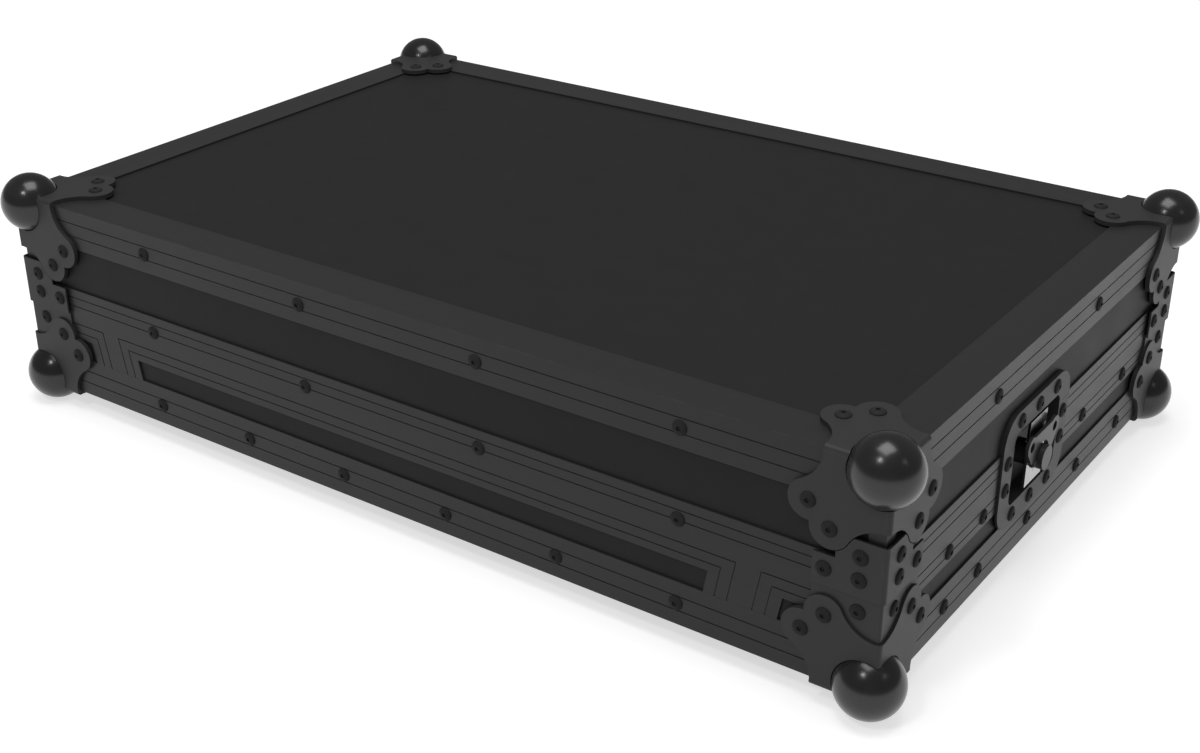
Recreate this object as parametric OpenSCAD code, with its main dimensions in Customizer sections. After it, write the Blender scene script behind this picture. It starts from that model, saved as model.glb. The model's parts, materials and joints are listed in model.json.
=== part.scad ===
/* [Case] */
// Length over the edge profiles
case_l = 710; // [640:1:900]
// Width over the edge profiles
case_w = 456; // [420:1:600]
// Height of the base from its underside to the joint
base_h = 86; // [84:1:120]
// Height of the lid above the joint
lid_h = 64; // [62:1:100]
// Thickness of the laminated panels
panel_t = 9; // [8.5:0.5:12]

/* [Profiles] */
// Wall of every aluminium profile
wall = 1.5; // [1.2:0.1:1.8]
// Leg width of the edge profiles
edge_leg = 30; // [28:0.5:30]
// Spacing of the grooves on an edge profile
edge_groove_pitch = 10; // [8:0.5:12]
// Width of every groove
groove_w = 0.8; // [0.5:0.1:1.2]
// Depth of every groove
groove_d = 0.5; // [0.3:0.1:0.8]
// Height of the closing band below the joint
band_h = 40.5; // [39:0.5:44]
// Depth of the band's inner leg below the joint
band_inner = 12; // [8:0.5:16]
// Leg width of the upright corner profiles
corner_leg = 11; // [8:0.5:12]
// Reach of the lid's locating tongue below the joint
tongue_drop = 8; // [4:0.5:10]
// Height of the locating strip above the joint
tongue_rise = 12; // [8:0.5:16]
// Gap between the tongue and the band
tongue_gap = 0.6; // [0.4:0.1:1]

/* [Front window frame] */
// Distance from the case end to the window side of a post
post_in = 111; // [105:1:130]
// Width of a post
post_w = 50; // [46:1:60]
// Lean of the posts from upright, in degrees
post_lean = 10.8; // [0:0.2:15]

/* [Corner brackets] */
// Radius of a corner ball
ball_r = 21.5; // [19:0.5:22.5]
// Distance of the ball centre inside each outer face
ball_inset = 6; // [5:0.5:8]
// Gap round the ball in its bracket
ball_gap = 0.4; // [0.2:0.1:0.6]
// Height of the bracket face above the profiles
bracket_t = 3.2; // [3:0.1:4]
// Radius of a lobe
lobe_r = 12.7; // [11:0.1:13.2]
// Long distance of a bracket rivet from the corner
lobe_far = 47; // [46:0.5:49]
// Short distance of a bracket rivet from the corner
lobe_near = 33; // [33:0.5:34]
// Reach of the bracket along an edge
edge_reach = 39.5; // [37:0.5:42]
// Radius of the bends
bend_r = 2.8; // [1:0.1:2.9]

/* [Middle braces] */
// Thickness of the brace plate
brace_t = 1.5; // [1.2:0.1:1.6]
// Reach of the brace from the corner
brace_reach = 42.5; // [41:0.5:44]
// Reach of the tab from the corner
tab_reach = 28.5; // [24:0.5:30]
// Height of the tab above the joint
tab_h = 16; // [14:0.5:20]
// Depth of the joggle below the joint
joggle_drop = 20; // [18:0.5:22]
// Gap between the tab and the lid's bracket
tab_gap = 0.5; // [0.5:0.1:1]

/* [Rivets] */
// Radius of a rivet head
rivet_r = 5; // [4:0.1:5.2]
// Height of a rivet head
rivet_h = 1.9; // [1:0.1:2.2]
// Radius of a rivet shank
shank_r = 2; // [1.5:0.1:2.2]
// Depth of a shank below the profile face
shank_depth = 8; // [6:0.1:8.4]
// Distance between the rivets on a long side's bands
long_pitch = 148.5; // [120:0.5:160]
// Distance between the rivets on a long side's lower profile
low_pitch = 89; // [80:0.5:100]

/* [Latches] */
// Place of the latch along the case width, from the middle
latch_y = -20.5; // [-40:0.5:20]
// Width of the latch flange
flange_w = 104.5; // [102:0.5:108]
// Height of the latch flange
flange_h = 81.5; // [80:0.5:83]
// Corner radius of the flange
flange_r = 19.5; // [15:0.5:22]
// Height of the flange face above the profiles
flange_t = 1.8; // [1.5:0.1:2.2]
// Width of the recess
recess_w = 71.5; // [68:0.5:74]
// Height of the recess
recess_h = 51; // [50.8:0.1:52]
// Depth of the recess below the profile face
recess_d = 9; // [7:0.1:9.1]
// Wall of the pressed dish
dish_wall = 1.2; // [1:0.1:1.3]
// Radius of the turning barrel
barrel_r = 8.3; // [7.5:0.1:8.4]
// Height of the barrel above the profile face
barrel_out = 10.5; // [10:0.1:14]
// Throw of the eccentric
throw = 1.5; // [1:0.1:1.5]
// Distance of a wing eye from the middle
eye_y = 17.9; // [16:0.1:19]
// Height of a wing eye above the barrel centre
eye_z = 13.8; // [13:0.1:15]
// Radius of a wing ear
ear_r = 6.9; // [6:0.1:7.2]
// Radius of a wing eye
eye_r = 3.3; // [2:0.1:3.6]
// Width of the hook and its strap
hook_w = 26.4; // [25:0.2:28]

/* [Foam] */
// Thickness of the floor foam
floor_foam = 10; // [5:1:20]
// Thickness of the wall foam
wall_foam = 10; // [6:1:20]
// Thickness of the foam in the lid
lid_foam = 25; // [10:1:30]

/* [Hidden] */
$fn = 64;
case_h = base_h + lid_h;
joint_z = base_h;
foot_h = ball_r - ball_inset;
half_l = case_l / 2;
half_w = case_w / 2;
overrun = 4;
hair = 0.2;

// Grooves of the closing band, as shares of its height measured down from the joint
band_groove_shares = [0.16, 0.333, 0.69, 0.865];
band_grooves = band_h * band_groove_shares;
band_low = joint_z - band_h;
panel_in = wall + panel_t;
band_in = panel_in + wall;
tongue_out = band_in + tongue_gap;
tongue_in = tongue_out + wall;
seal_gap = 0.3;
seam = 0.2;

// Posts of the front frame: groove places from either side of a post
post_groove_near = 8;
post_groove_far = 16.5;

// Bracket outline: the concave arc is tangent to the lobe and meets the edge squarely
arc_lead = edge_reach - lobe_far;
arc_r = (pow(arc_lead, 2) + pow(lobe_near, 2) - pow(lobe_r, 2)) / (2 * (lobe_r - arc_lead));
arc_c = edge_reach + arc_r;
lobes = [[lobe_far, lobe_near], [lobe_near, lobe_far]];

// Middle brace
brace_out = 2 * brace_t;
brace_low = ball_inset + ball_r + hair;
brace_lap = brace_t;
brace_column = 13.3;
brace_outer = 35;
brace_tab_rise = 5.5;
brace_mid_drop = 9;
brace_low_drop = 30.3;
brace_tab_rivet = joint_z + brace_tab_rise;
brace_mid_rivet = joint_z - brace_mid_drop;
brace_low_rivet = joint_z - brace_low_drop;
brace_lip = 0.3;

// Rivets: heads, shanks and rows
head_ball_r = (pow(rivet_r, 2) + pow(rivet_h, 2)) / (2 * rivet_h);
mandrel_r = 0.9;
mandrel_d = 1;
shank_gap = 0.05;
lid_row_drop = 16.5;
band_row_drop = 12.7;
band_end_row_drop = 33.2;
lid_row_z = case_h - lid_row_drop;
band_row_z = joint_z - band_row_drop;
band_end_row_z = joint_z - band_end_row_drop;
low_row_z = 15;
low_end_row_z = 14;
long_places = [for (k = [-1.5:1:1.5]) k * long_pitch];
low_places = [for (k = [-2.5:1:2.5]) k * low_pitch];
// Rivets along a short side, as shares of half the width, from the middle towards the rear
lid_end_shares = [-0.386, 0.322];
band_end_shares = [-0.612, -0.4, 0.309, 0.64];
low_end_shares = [-0.61, -0.397, -0.061, 0.311, 0.645];
lid_end_places = half_w * lid_end_shares;
band_end_places = half_w * band_end_shares;
low_end_places = half_w * low_end_shares;

// Latch: places measured from the joint, faces measured out from the profile face
flange_drop = 18.2;
barrel_drop = 3;
flange_z = joint_z - flange_drop;
barrel_z = flange_z - barrel_drop;
recess_r = 6;
recess_top = flange_z + recess_h / 2;
floor_out = -recess_d;
floor_in = floor_out - dish_wall;
cut_gap = 0.2;
flange_row_margin = 7.75;
flange_column_margin = 8.65;
flange_rivet_row = flange_h / 2 - flange_row_margin;
flange_rivet_column = flange_w / 2 - flange_column_margin;
flange_rivet_pitch = 28.3;
flange_rivet_rise = 9.5;
journal_r = 4;
run_gap = 0.05;
collar_r = 6;
collar_t = 1;
collar_pocket_gap = 1.5;
face_gap = 0.3;
collar_in = floor_in - face_gap - collar_t;
strap_in = 0.6;
strap_t = 2;
strap_out = strap_in + strap_t;
eccentric_r = 6;
// The strap moves evenly with the turn, so its slot leaves room for the eccentric's cosine
cosine_share = 0.22;
slot_gap = 0.13;
slot_spare = cosine_share * throw + slot_gap;
strap_drop = 18.5;
tail_r = 2.9;
tail_tip_r = 0.8;
tail_start = 9;
pivot_rise = 14.4;
pivot_r = 1.9;
pivot_pin_r = 1;
pivot_face = (strap_in + strap_out) / 2;
pivot_half = 8.9;
hook_gap = 0.6;
hook_top = recess_top - hook_gap;
hook_lip_t = 1.6;
hook_reach = -2;
shelf_t = 0.8;
shelf_gap = 0.4;
shelf_side = 1;
shelf_face = hook_reach - shelf_gap;
shelf_half = hook_w / 2 + shelf_side;
wing_in = 4.85;
wing_t = 2;
wing_face = wing_in + wing_t / 2;
wing_brow = 5.6;
wing_top = eye_z + wing_brow;
wing_waist = 24;
wing_waist_z = 10.8;
wing_foot = 14;
wing_foot_z = 2.4;
wing_arch_gap = 2.4;
wing_arch_r = barrel_r + wing_arch_gap;
wing_pin_r = 1.2;
knuckle_r = 2;
knuckle_gap = 0.7;

// Foam
foam_gap = 0.3;
foam_drop = 4;
wall_foam_top = joint_z - band_inner - foam_drop;
wall_foam_in = panel_in + wall_foam + 2 * foam_gap;

// Places: the case stands on its lower balls, so everything is lifted by their drop
module stand() {
    translate([0, 0, foot_h]) children();
}

// A long side seen square on: x along it, y up, z outwards; -1 is the front
module on_long(side) {
    mirror([0, side > 0 ? 1 : 0, 0])
        translate([0, -half_w, 0])
            rotate([90, 0, 0]) children();
}

// A short side seen square on: x along it, y up, z outwards; 1 is the right
module on_end(side) {
    mirror([side < 0 ? 1 : 0, 0, 0])
        translate([half_l, 0, 0])
            rotate([90, 0, 90]) children();
}

// A corner with the case along +x and +y, and z up from the underside
module at_corner(side_x, side_y) {
    translate([side_x * half_l, side_y * half_w, 0])
        mirror([side_x > 0 ? 1 : 0, 0, 0])
            mirror([0, side_y > 0 ? 1 : 0, 0]) children();
}

// A lid corner is a base corner upside down
module at_lid_corner(side_x, side_y) {
    at_corner(side_x, side_y)
        translate([0, 0, case_h])
            mirror([0, 0, 1]) children();
}

module each_corner() {
    for (side_x = [-1, 1])
        for (side_y = [-1, 1])
            at_corner(side_x, side_y) children();
}

module each_lid_corner() {
    for (side_x = [-1, 1])
        for (side_y = [-1, 1])
            at_lid_corner(side_x, side_y) children();
}

// Rivets: each is [along, up, height of its seat, length of its shank]
function seated(along, up, seat) = [along, up, seat, seat + shank_depth];

function row(places, up) = [for (place = places) seated(place, up, 0)];

function bracket_rivets(half, up, turn) = [
    for (side = [-1, 1])
        for (lobe = lobes) seated(side * (half - lobe[0]), up + turn * lobe[1], bracket_t)
];

function brace_rivets(half) = [
    for (side = [-1, 1])
        for (spot = [
            [brace_column, brace_mid_rivet, brace_out],
            [brace_outer, brace_mid_rivet, brace_out],
            [brace_column, brace_low_rivet, brace_t]
        ]) seated(side * (half - spot[0]), spot[1], spot[2])
];

function tab_rivets(half) = [
    for (side = [-1, 1]) [side * (half - brace_column), brace_tab_rivet, brace_out, brace_t]
];

keeper_rivets = [
    for (k = [-1:1]) seated(latch_y + k * flange_rivet_pitch, flange_z + flange_rivet_row, flange_t)
];

dish_rivets = concat(
    [for (k = [-1:1]) seated(latch_y + k * flange_rivet_pitch, flange_z - flange_rivet_row, flange_t)],
    [
        for (side = [-1, 1])
            for (rise = [-1, 1])
                seated(latch_y + side * flange_rivet_column, flange_z + rise * flange_rivet_rise, flange_t)
    ]
);

lid_long_rivets = concat(row(long_places, lid_row_z), bracket_rivets(half_l, case_h, -1));
lid_end_rivets = concat(row(lid_end_places, lid_row_z), bracket_rivets(half_w, case_h, -1), keeper_rivets);
base_long_rivets = concat(
    row(long_places, band_row_z), row(low_places, low_row_z),
    bracket_rivets(half_l, 0, 1), brace_rivets(half_l)
);
base_end_rivets = concat(
    row(band_end_places, band_end_row_z), row(low_end_places, low_end_row_z),
    bracket_rivets(half_w, 0, 1), brace_rivets(half_w), dish_rivets
);

module rivet(spot) {
    translate([spot[0], spot[1], spot[2]]) {
        difference() {
            intersection() {
                translate([0, 0, rivet_h - head_ball_r]) sphere(head_ball_r);
                cylinder(h = 2 * rivet_h, r = 2 * rivet_r);
            }
            translate([0, 0, rivet_h - mandrel_d]) cylinder(h = 2 * rivet_h, r = mandrel_r, $fn = 24);
        }
        translate([0, 0, -spot[3]]) cylinder(h = spot[3], r = shank_r, $fn = 32);
    }
}

module rivet_hole(spot) {
    translate([spot[0], spot[1], spot[2] - spot[3] - hair])
        cylinder(h = spot[3] + hair + overrun, r = shank_r + shank_gap, $fn = 32);
}

module rivets(spots) {
    for (spot = spots) rivet(spot);
}

module rivet_holes(spots) {
    for (spot = spots) rivet_hole(spot);
}

// The two bracket rivets on the face that lies across z in a corner's own axes
module lobe_rivets() {
    for (lobe = lobes) rotate([180, 0, 0]) rivet(seated(lobe[0], -lobe[1], bracket_t));
}

module lobe_holes() {
    for (lobe = lobes) rotate([180, 0, 0]) rivet_hole(seated(lobe[0], -lobe[1], bracket_t));
}

// Panels
module wall_panel_long(side, low, high) {
    on_long(side) translate([wall - half_l, low, -panel_in]) cube([case_l - 2 * wall, high - low, panel_t]);
}

module wall_panel_end(side, low, high) {
    on_end(side) translate([panel_in - half_w, low, -panel_in]) cube([case_w - 2 * panel_in, high - low, panel_t]);
}

module flat_panel(low) {
    translate([panel_in - half_l, panel_in - half_w, low])
        cube([case_l - 2 * panel_in, case_w - 2 * panel_in, panel_t]);
}

module lid_top_panel() {
    color("#2b2b2d") stand() difference() {
        flat_panel(case_h - panel_in);
        each_lid_corner() lobe_holes();
    }
}

module lid_panel_long(side) {
    color("#2a2a2c") stand() difference() {
        wall_panel_long(side, joint_z, case_h - wall);
        on_long(side) rivet_holes(lid_long_rivets);
    }
}

module lid_panel_end(side) {
    color("#2a2a2c") stand() difference() {
        wall_panel_end(side, joint_z, case_h - wall);
        on_end(side) rivet_holes(lid_end_rivets);
        on_end(side) recess_cut(panel_in + hair);
    }
}

module base_bottom_panel() {
    color("#2b2b2d") stand() difference() {
        flat_panel(wall);
        each_corner() lobe_holes();
    }
}

module base_panel_long(side) {
    color("#2a2a2c") stand() difference() {
        wall_panel_long(side, wall, joint_z - wall);
        on_long(side) rivet_holes(base_long_rivets);
    }
}

module base_panel_end(side) {
    color("#2a2a2c") stand() difference() {
        wall_panel_end(side, wall, joint_z - wall);
        on_end(side) rivet_holes(base_end_rivets);
        on_end(side) recess_cut(panel_in + hair);
    }
}

// Edge profiles: an upright leg with two grooves and a flat leg that is mitred at the corners
module edge_grooves(length) {
    for (k = [1, 2])
        translate([-length, k * edge_groove_pitch - groove_w / 2, -groove_d])
            cube([2 * length, groove_w, overrun]);
}

module edge_long() {
    translate([-half_l, 0, -wall]) cube([case_l, edge_leg, wall]);
    translate([0, wall, 0]) rotate([90, 0, 0]) linear_extrude(wall)
        polygon([
            [-half_l, 0], [half_l, 0], [half_l - edge_leg, -edge_leg], [edge_leg - half_l, -edge_leg]
        ]);
}

module edge_end() {
    inner = half_w - wall;
    tip = half_w - edge_leg;
    translate([-inner, 0, -wall]) cube([2 * inner, edge_leg, wall]);
    translate([0, wall, 0]) rotate([90, 0, 0]) linear_extrude(wall)
        polygon([[-inner, 0], [inner, 0], [inner, -wall], [tip, -edge_leg], [-tip, -edge_leg], [-inner, -wall]]);
}

module lid_edge_long(side) {
    color("#333336") stand() difference() {
        on_long(side) translate([0, case_h, 0]) mirror([0, 1, 0]) difference() {
            edge_long();
            edge_grooves(half_l + overrun);
        }
        on_long(side) rivet_holes(lid_long_rivets);
    }
}

module lid_edge_end(side) {
    color("#333336") stand() difference() {
        on_end(side) translate([0, case_h, 0]) mirror([0, 1, 0]) difference() {
            edge_end();
            edge_grooves(half_w + overrun);
        }
        on_end(side) rivet_holes(lid_end_rivets);
    }
}

module base_edge_long(side) {
    color("#333336") stand() difference() {
        on_long(side) difference() {
            edge_long();
            edge_grooves(half_l + overrun);
        }
        on_long(side) rivet_holes(base_long_rivets);
    }
}

module base_edge_end(side) {
    color("#333336") stand() difference() {
        on_end(side) difference() {
            edge_end();
            edge_grooves(half_w + overrun);
        }
        on_end(side) rivet_holes(base_end_rivets);
    }
}

// Upright profiles at the corners, between the edge profiles and the joint or the band
module corner_profile(low, high) {
    translate([0, 0, low]) linear_extrude(high - low) corner_plan(-wall, 0, corner_leg);
}

// Plan of a right-angled plate between two heights above the profile faces
module corner_plan(inner, outer, reach) {
    difference() {
        translate([-outer, -outer]) square(reach + outer);
        translate([-inner, -inner]) square(reach + overrun);
    }
}

module lid_corner_profiles() {
    color("#333336") stand() each_corner() corner_profile(joint_z, case_h - edge_leg);
}

module base_corner_profiles() {
    color("#333336") stand() each_corner() corner_profile(edge_leg, band_low);
}

// Closing band: outer leg, web over the panel's edge, inner leg
module band_long() {
    translate([-half_l, band_low, -wall]) cube([case_l, band_h, wall]);
    translate([wall - half_l, joint_z - wall, -band_in]) cube([case_l - 2 * wall, wall, band_in]);
    translate([panel_in - half_l, joint_z - band_inner, -band_in])
        cube([case_l - 2 * panel_in, band_inner, wall]);
}

module band_end() {
    translate([wall - half_w, band_low, -wall]) cube([case_w - 2 * wall, band_h, wall]);
    translate([band_in - half_w, joint_z - wall, -band_in]) cube([case_w - 2 * band_in, wall, band_in]);
    translate([band_in - half_w, joint_z - band_inner, -band_in]) cube([case_w - 2 * band_in, band_inner, wall]);
}

module groove(from, to, drop) {
    translate([from, joint_z - drop - groove_w / 2, -groove_d]) cube([to - from, groove_w, overrun]);
}

module band_rear() {
    difference() {
        band_long();
        for (drop = band_grooves) groove(-half_l - overrun, half_l + overrun, drop);
        rivet_holes(base_long_rivets);
    }
}

// A place along the front, measured from the case end at the band's lower edge, moved along the lean
function leaned(place, up) = half_l - place - tan(post_lean) * (band_low - up);

// A leaning groove down one side of a post, from one of the band's grooves to the lower profile
module post_groove(place, drop) {
    top = joint_z - drop;
    translate([0, 0, -groove_d]) linear_extrude(overrun) polygon([
        [leaned(place, top) - groove_w / 2, top + groove_w / 2],
        [leaned(place, top) + groove_w / 2, top + groove_w / 2],
        [leaned(place, edge_leg) + groove_w / 2, edge_leg],
        [leaned(place, edge_leg) - groove_w / 2, edge_leg]
    ]);
}

module post_grooves() {
    for (side = [0, 1]) mirror([side, 0, 0]) {
        post_groove(post_in - post_groove_near, band_grooves[3]);
        post_groove(post_in - post_groove_far, band_grooves[2]);
        post_groove(post_in - post_w + post_groove_far, band_grooves[2]);
        post_groove(post_in - post_w + post_groove_near, band_grooves[3]);
    }
}

// The two lower grooves stop at the posts and turn down beside each window
module frame_groove(k, inset) {
    drop = band_grooves[k];
    inner = leaned(post_in - inset, joint_z - drop);
    outer = leaned(post_in - post_w + inset, joint_z - drop);
    groove(-inner, inner, drop);
    for (side = [0, 1]) mirror([side, 0, 0]) groove(outer, half_l + overrun, drop);
}

module base_front_band() {
    color("#333336") stand() on_long(-1) difference() {
        band_long();
        for (k = [0, 1]) groove(-half_l - overrun, half_l + overrun, band_grooves[k]);
        frame_groove(2, post_groove_far);
        frame_groove(3, post_groove_near);
        post_grooves();
        rivet_holes(base_long_rivets);
    }
}

module base_rear_band() {
    color("#333336") stand() on_long(1) band_rear();
}

module base_band_end(side) {
    color("#333336") stand() on_end(side) difference() {
        band_end();
        for (drop = band_grooves) groove(-half_w - overrun, half_w + overrun, drop);
        rivet_holes(base_end_rivets);
        recess_cut(panel_in);
    }
}

module front_window_posts() {
    color("#333336") stand() on_long(-1) difference() {
        for (side = [0, 1]) mirror([side, 0, 0])
            translate([0, 0, -wall]) linear_extrude(wall) polygon([
                [leaned(post_in, edge_leg), edge_leg],
                [leaned(post_in - post_w, edge_leg), edge_leg],
                [leaned(post_in - post_w, band_low), band_low],
                [leaned(post_in, band_low), band_low]
            ]);
        post_grooves();
    }
}

// Locating strips inside the lid: the tongue runs inside the band's inner leg
module lid_locating_strips() {
    color("#8d8f94") stand() {
        for (side = [-1, 1]) {
            on_long(side) strip_along(half_l - tongue_in, half_l - panel_in);
            on_end(side) strip_along(half_w - tongue_in - seam, half_w - tongue_in - seam);
        }
    }
}

// On the long sides the hanging tongue is shorter than the strip above it
module strip_along(tongue_half, strip_half) {
    translate([-strip_half, joint_z + seal_gap, -tongue_in])
        cube([2 * strip_half, tongue_rise - seal_gap, tongue_in - panel_in]);
    translate([-tongue_half, joint_z - tongue_drop, -tongue_in])
        cube([2 * tongue_half, tongue_drop + seal_gap + hair, wall]);
}

// Ball corners
module petal_plan(grow = 0) {
    difference() {
        union() {
            polygon([
                [-bracket_t, -bracket_t], [arc_c, -bracket_t], [arc_c, 0], lobes[0], lobes[1],
                [0, arc_c], [-bracket_t, arc_c]
            ]);
            for (lobe = lobes) translate(lobe) circle(lobe_r + grow);
        }
        translate([arc_c, 0]) circle(arc_r - grow);
        translate([0, arc_c]) circle(arc_r - grow);
    }
}

// The three faces of a corner follow one another round its diagonal
module three_faces() {
    for (k = [0:2]) rotate(a = 120 * k, v = [1, 1, 1]) children();
}

// What rounds the outside of a bend along z whose sharp corner lies at -outer
module bend_cut(outer, radius) {
    length = case_h;
    translate([-outer, -outer, -length]) difference() {
        translate([-overrun, -overrun, 0]) cube([radius + overrun, radius + overrun, 2 * length]);
        translate([radius, radius, -overrun]) cylinder(h = 2 * length + 2 * overrun, r = radius);
    }
}

module corner_bracket() {
    difference() {
        three_faces() translate([0, 0, -bracket_t]) linear_extrude(bracket_t) petal_plan();
        translate([ball_inset, ball_inset, ball_inset]) sphere(ball_r + ball_gap);
        three_faces() bend_cut(bracket_t, bend_r);
        three_faces() lobe_holes();
    }
}

module corner_ball() {
    difference() {
        translate([ball_inset, ball_inset, ball_inset]) sphere(ball_r);
        cube(2 * ball_r);
    }
}

module lid_bracket(side_x, side_y) {
    color("#3a3a3d") stand() at_lid_corner(side_x, side_y) corner_bracket();
}

module base_bracket(side_x, side_y) {
    color("#3a3a3d") stand() at_corner(side_x, side_y) difference() {
        corner_bracket();
        brace_lower();
        brace_upper();
    }
}

module lid_corner_balls() {
    color("#1c1c1e") stand() each_lid_corner() corner_ball();
}

module base_corner_balls() {
    color("#1c1c1e") stand() each_corner() corner_ball();
}

// Middle braces: the upper half stands off, so that the lid's corner slides up behind its tab
module brace_lower() {
    translate([0, 0, brace_low]) linear_extrude(joint_z - joggle_drop + brace_lap - brace_low)
        corner_plan(0, brace_t, brace_reach);
}

module brace_upper() {
    low = joint_z - joggle_drop;
    translate([0, 0, low]) linear_extrude(joint_z + brace_lip - low) corner_plan(brace_t, brace_out, brace_reach);
    translate([0, 0, low]) linear_extrude(joint_z + tab_h - low) corner_plan(brace_t, brace_out, tab_reach);
}

// The lid bracket's outline on both upright faces, grown by the gap that the tab keeps to it
module lid_petals_grown() {
    translate([0, 0, case_h]) mirror([0, 0, 1]) {
        rotate([90, 0, 0]) linear_extrude(brace_out + overrun) petal_plan(tab_gap);
        mirror([1, -1, 0]) rotate([90, 0, 0]) linear_extrude(brace_out + overrun) petal_plan(tab_gap);
    }
}

module brace_face_holes() {
    own = concat(brace_rivets(0), tab_rivets(0), bracket_rivets(0, 0, 1));
    rotate([90, 0, 0]) for (spot = own) if (spot[0] > 0) rivet_hole(spot);
}

module brace(side_x, side_y) {
    color("#3a3a3d") stand() at_corner(side_x, side_y) difference() {
        union() {
            brace_lower();
            brace_upper();
        }
        lid_petals_grown();
        bend_cut_to(joint_z - joggle_drop, brace_t, brace_t);
        translate([0, 0, joint_z - joggle_drop + case_h]) bend_cut(brace_out, bend_r);
        brace_face_holes();
        mirror([1, -1, 0]) brace_face_holes();
    }
}

// A bend cut that ends at a height
module bend_cut_to(high, outer, radius) {
    intersection() {
        bend_cut(outer, radius);
        translate([-case_h, -case_h, high - case_h]) cube([2 * case_h, 2 * case_h, case_h]);
    }
}

// Rivet sets
module lid_rivets() {
    color("#1b1b1c") stand() {
        for (side = [-1, 1]) {
            on_long(side) rivets(lid_long_rivets);
            on_end(side) rivets(lid_end_rivets);
        }
        each_lid_corner() lobe_rivets();
    }
}

module base_rivets() {
    color("#1b1b1c") stand() {
        for (side = [-1, 1]) {
            on_long(side) rivets(concat(base_long_rivets, tab_rivets(half_l)));
            on_end(side) rivets(concat(base_end_rivets, tab_rivets(half_w)));
        }
        each_corner() lobe_rivets();
    }
}

// Foam
module lid_foam_pad() {
    color("#3b3b3d") stand()
        translate([panel_in + foam_gap - half_l, panel_in + foam_gap - half_w, case_h - panel_in - foam_gap - lid_foam])
            cube([case_l - 2 * (panel_in + foam_gap), case_w - 2 * (panel_in + foam_gap), lid_foam]);
}

module floor_foam_pad() {
    color("#3b3b3d") stand()
        translate([wall_foam_in - half_l, wall_foam_in - half_w, panel_in + foam_gap])
            cube([case_l - 2 * wall_foam_in, case_w - 2 * wall_foam_in, floor_foam]);
}

module wall_foam_strips() {
    near = panel_in + foam_gap;
    color("#3b3b3d") stand() for (side = [-1, 1]) {
        on_long(side) translate([near - half_l, near, -near - wall_foam])
            cube([case_l - 2 * near, wall_foam_top - near, wall_foam]);
        on_end(side) difference() {
            translate([wall_foam_in - half_w, near, -near - wall_foam])
                cube([case_w - 2 * wall_foam_in, wall_foam_top - near, wall_foam]);
            collar_pocket();
        }
    }
}

// Round relief in the foam behind a latch's collar, open at the top
module collar_pocket() {
    depth = collar_in - foam_gap - collar_pocket_gap;
    translate([latch_y, barrel_z, depth])
        linear_extrude(-depth) {
            circle(collar_r + collar_pocket_gap);
            translate([-collar_r - collar_pocket_gap, 0])
                square([2 * (collar_r + collar_pocket_gap), wall_foam_top - barrel_z + overrun]);
        }
}

// Latch dish and keeper: one rounded outline, parted at the joint
module rounded(width, height, radius) {
    for (turn = [0, 1])
        square([width - 2 * radius * turn, height - 2 * radius * (1 - turn)], center = true);
    for (side = [-1, 1])
        for (rise = [-1, 1])
            translate([side * (width / 2 - radius), rise * (height / 2 - radius)]) circle(radius);
}

module recess_plan(grow = 0) {
    translate([latch_y, flange_z]) rounded(recess_w + 2 * grow, recess_h + 2 * grow, recess_r + grow);
}

module recess_cut(depth) {
    translate([0, 0, -depth]) linear_extrude(depth + overrun) recess_plan(dish_wall + cut_gap);
}

module latch_shell(seat) {
    translate([0, 0, seat]) linear_extrude(flange_t - seat)
        translate([latch_y, flange_z]) rounded(flange_w, flange_h, flange_r);
    translate([0, 0, floor_in]) linear_extrude(-floor_in) recess_plan(dish_wall);
}

module recess_hollow() {
    translate([0, 0, floor_out]) linear_extrude(recess_d + flange_t + overrun) recess_plan();
}

module above_joint() {
    translate([-half_w, joint_z, -half_w]) cube([case_w, case_h, case_w]);
}

module latch_keeper(side) {
    color("#3f3f42") stand() on_end(side) {
        intersection() {
            difference() {
                latch_shell(-wall);
                recess_hollow();
                rivet_holes(lid_end_rivets);
            }
            above_joint();
        }
        translate([latch_y - shelf_half, joint_z, floor_out - hair])
            cube([2 * shelf_half, shelf_t, shelf_face - floor_out + hair]);
    }
}

module latch_dish(side) {
    color("#3f3f42") stand() on_end(side) difference() {
        latch_shell(0);
        recess_hollow();
        rivet_holes(base_end_rivets);
        above_joint();
        translate([latch_y, barrel_z, floor_in - overrun])
            cylinder(h = dish_wall + 2 * overrun, r = journal_r + run_gap);
    }
}

// Moving parts of a latch, round the barrel's own centre
module at_barrel(side) {
    stand() on_end(side) translate([latch_y, barrel_z, 0]) children();
}

module stacked(low, high, radius) {
    translate([0, 0, low]) cylinder(h = high - low, r = radius);
}

module latch_barrel(side) {
    lap = 0.1;
    color("#3c3c3f") at_barrel(side) difference() {
        union() {
            stacked(collar_in, floor_in - face_gap, collar_r);
            stacked(floor_in - face_gap - lap, floor_out + face_gap + lap, journal_r);
            stacked(floor_out + face_gap, strap_in - face_gap, barrel_r);
            translate([0, throw, 0]) stacked(strap_in - face_gap - lap, strap_out + face_gap + lap, eccentric_r);
            stacked(strap_out + face_gap, barrel_out, barrel_r);
        }
        translate([-barrel_r - overrun, 0, wing_face]) rotate([0, 90, 0])
            cylinder(h = 2 * (barrel_r + overrun), r = wing_pin_r + run_gap, $fn = 32);
    }
}

module wing_pin(side) {
    color("#4a4a4d") at_barrel(side) translate([-wing_foot, 0, wing_face]) rotate([0, 90, 0])
        cylinder(h = 2 * wing_foot, r = wing_pin_r, $fn = 32);
}

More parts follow.
